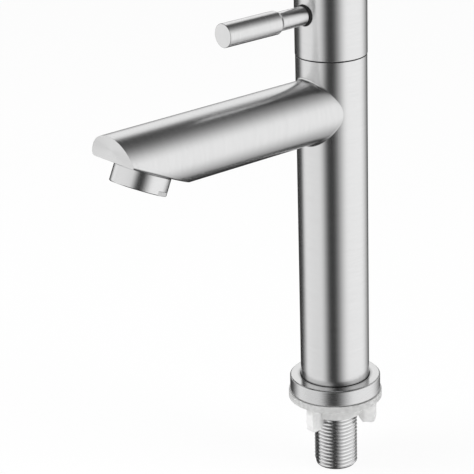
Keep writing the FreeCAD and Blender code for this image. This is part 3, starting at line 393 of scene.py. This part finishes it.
def make_floor():
    height = cad_box[0].z - FLOOR_BELOW
    corners = [(x * FLOOR_REACH, y * FLOOR_REACH, height) for x, y in ((-1, -1), (1, -1), (1, 1), (-1, 1))]
    data = bpy.data.meshes.new("floor")
    data.from_pydata(corners, [], [(0, 1, 2, 3)])
    floor = bpy.data.objects.new("floor", data)
    bpy.context.scene.collection.objects.link(floor)
    material, tree, shader = new_material("pale_floor")
    cloud = streaks(tree, (3.0,) * 3, 2.0)
    put(tree, shader.inputs["Base Color"], mix_colour(tree, cloud, grey(0.94), grey(0.96)))
    shader.inputs["Roughness"].default_value = 0.9
    shader.inputs["Specular IOR Level"].default_value = 0.0
    glow = new_node(tree, "ShaderNodeEmission", Color=(1.0, 1.0, 1.0, 1.0), Strength=1.0)
    path = tree.nodes.new("ShaderNodeLightPath").outputs
    seen = math_node(tree, "MAXIMUM", path["Is Camera Ray"], path["Is Glossy Ray"],
                     path["Is Transmission Ray"])
    mixed = tree.nodes.new("ShaderNodeMixShader")
    put(tree, mixed.inputs[0], math_node(tree, "MULTIPLY", seen, FLOOR_GLOW))
    tree.links.new(shader.outputs[0], mixed.inputs[1])
    tree.links.new(glow.outputs[0], mixed.inputs[2])
    output = next(n for n in tree.nodes if n.type == "OUTPUT_MATERIAL")
    tree.links.new(mixed.outputs[0], output.inputs["Surface"])
    data.materials.append(material)
    floor.visible_glossy = False


def make_world():
    """A white studio, in which metal and glass see the panels above instead."""
    world = bpy.data.worlds.new("studio")
    bpy.context.scene.world = world
    world.use_nodes = True
    tree = world.node_tree
    tree.nodes.clear()
    toward = coordinate(tree, "Generated")
    camera_side = Vector((CAMERA_AT.x, CAMERA_AT.y, 0)).normalized()
    beside = Vector((-camera_side.y, camera_side.x, 0))
    turn = math_node(tree, "ARCTAN2", dot_node(tree, toward, beside), dot_node(tree, toward, camera_side))
    height = math_node(tree, "ARCSINE", dot_node(tree, toward, Vector((0, 0, 1))))

    def edge(angle, middle, width, falling=False):
        low, high = math.radians(middle - width / 2), math.radians(middle + width / 2)
        return map_range(tree, angle, low, high, *((1.0, 0.0) if falling else (0.0, 1.0)))

    def panel(shape, first_angle, last_angle):
        first, last = shape["turn"]
        low, high = shape["height"]
        inside = math_node(tree, "MULTIPLY", edge(first_angle, *first), edge(height, *low),
                           edge(height, *high, falling=True))
        if last:
            inside = math_node(tree, "MULTIPLY", inside, edge(last_angle, *last, falling=True))
        return math_node(tree, "MULTIPLY", inside, shape["light"])

    from_front = math_node(tree, "ABSOLUTE", turn)
    raised = math_node(tree, "SUBTRACT", height, math.radians(UPRIGHT_HEIGHT))
    leaning = math_node(tree, "SUBTRACT", turn, math_node(tree, "MULTIPLY", raised, LEAN))
    panels = math_node(tree, "MAXIMUM", panel(LEFT_BOX, turn, leaning), panel(RIGHT_BOX, leaning, turn),
                       panel(TABLE, turn, turn), panel(WING, turn, turn),
                       panel(BACKDROP, from_front, from_front))
    covered = math_node(tree, "MULTIPLY", edge(height, *CANOPY["height"]),
                        edge(from_front, *CANOPY["turn"], falling=True), CANOPY["cover"])
    panels = math_node(tree, "MULTIPLY", panels, math_node(tree, "SUBTRACT", 1.0, covered))
    overhead = math_node(tree, "MULTIPLY", edge(height, *CEILING["height"]), CEILING["light"])
    mirrored = math_node(tree, "ADD", math_node(tree, "MAXIMUM", panels, overhead), DARK)

    path = tree.nodes.new("ShaderNodeLightPath").outputs
    shiny = math_node(tree, "MAXIMUM", path["Is Glossy Ray"], path["Is Transmission Ray"])
    plain = math_node(tree, "MULTIPLY", math_node(tree, "SUBTRACT", 1.0, shiny), PLAIN_WORLD)
    strength = math_node(tree, "ADD", math_node(tree, "MULTIPLY", shiny, mirrored), plain)
    strength = math_node(tree, "MAXIMUM", strength, path["Is Camera Ray"])
    background = new_node(tree, "ShaderNodeBackground", Color=(1.0, 1.0, 1.0, 1.0), Strength=strength)
    output = tree.nodes.new("ShaderNodeOutputWorld")
    tree.links.new(background.outputs[0], output.inputs["Surface"])


def make_lamp(name, at, power):
    data = bpy.data.lights.new(name, "AREA")
    data.shape = "DISK"
    data.size = LAMP_SIZE
    data.energy = power
    lamp = bpy.data.objects.new(name, data)
    bpy.context.scene.collection.objects.link(lamp)
    lamp.location = at
    lamp.rotation_mode = "QUATERNION"
    lamp.rotation_quaternion = (Vector(at) - Vector(LAMPS_AIM)).to_track_quat("Z", "Y")
    lamp.visible_glossy = False


def make_camera():
    data = bpy.data.cameras.new("camera")
    data.sensor_fit = "AUTO"
    data.sensor_width = SENSOR_WIDTH
    data.lens = FOCAL_LENGTH
    data.clip_start, data.clip_end = 0.05, 50.0
    camera = bpy.data.objects.new("camera", data)
    bpy.context.scene.collection.objects.link(camera)
    columns = (CAMERA_RIGHT, CAMERA_UP, -CAMERA_AHEAD)
    camera.matrix_world = Matrix.Translation(CAMERA_AT) @ Matrix(columns).transposed().to_4x4()
    bpy.context.scene.camera = camera


make_floor()
make_camera()
make_world()
for name, (at, power) in LAMPS.items():
    make_lamp(name, at, power)
bpy.context.scene.view_settings.view_transform = "Standard"
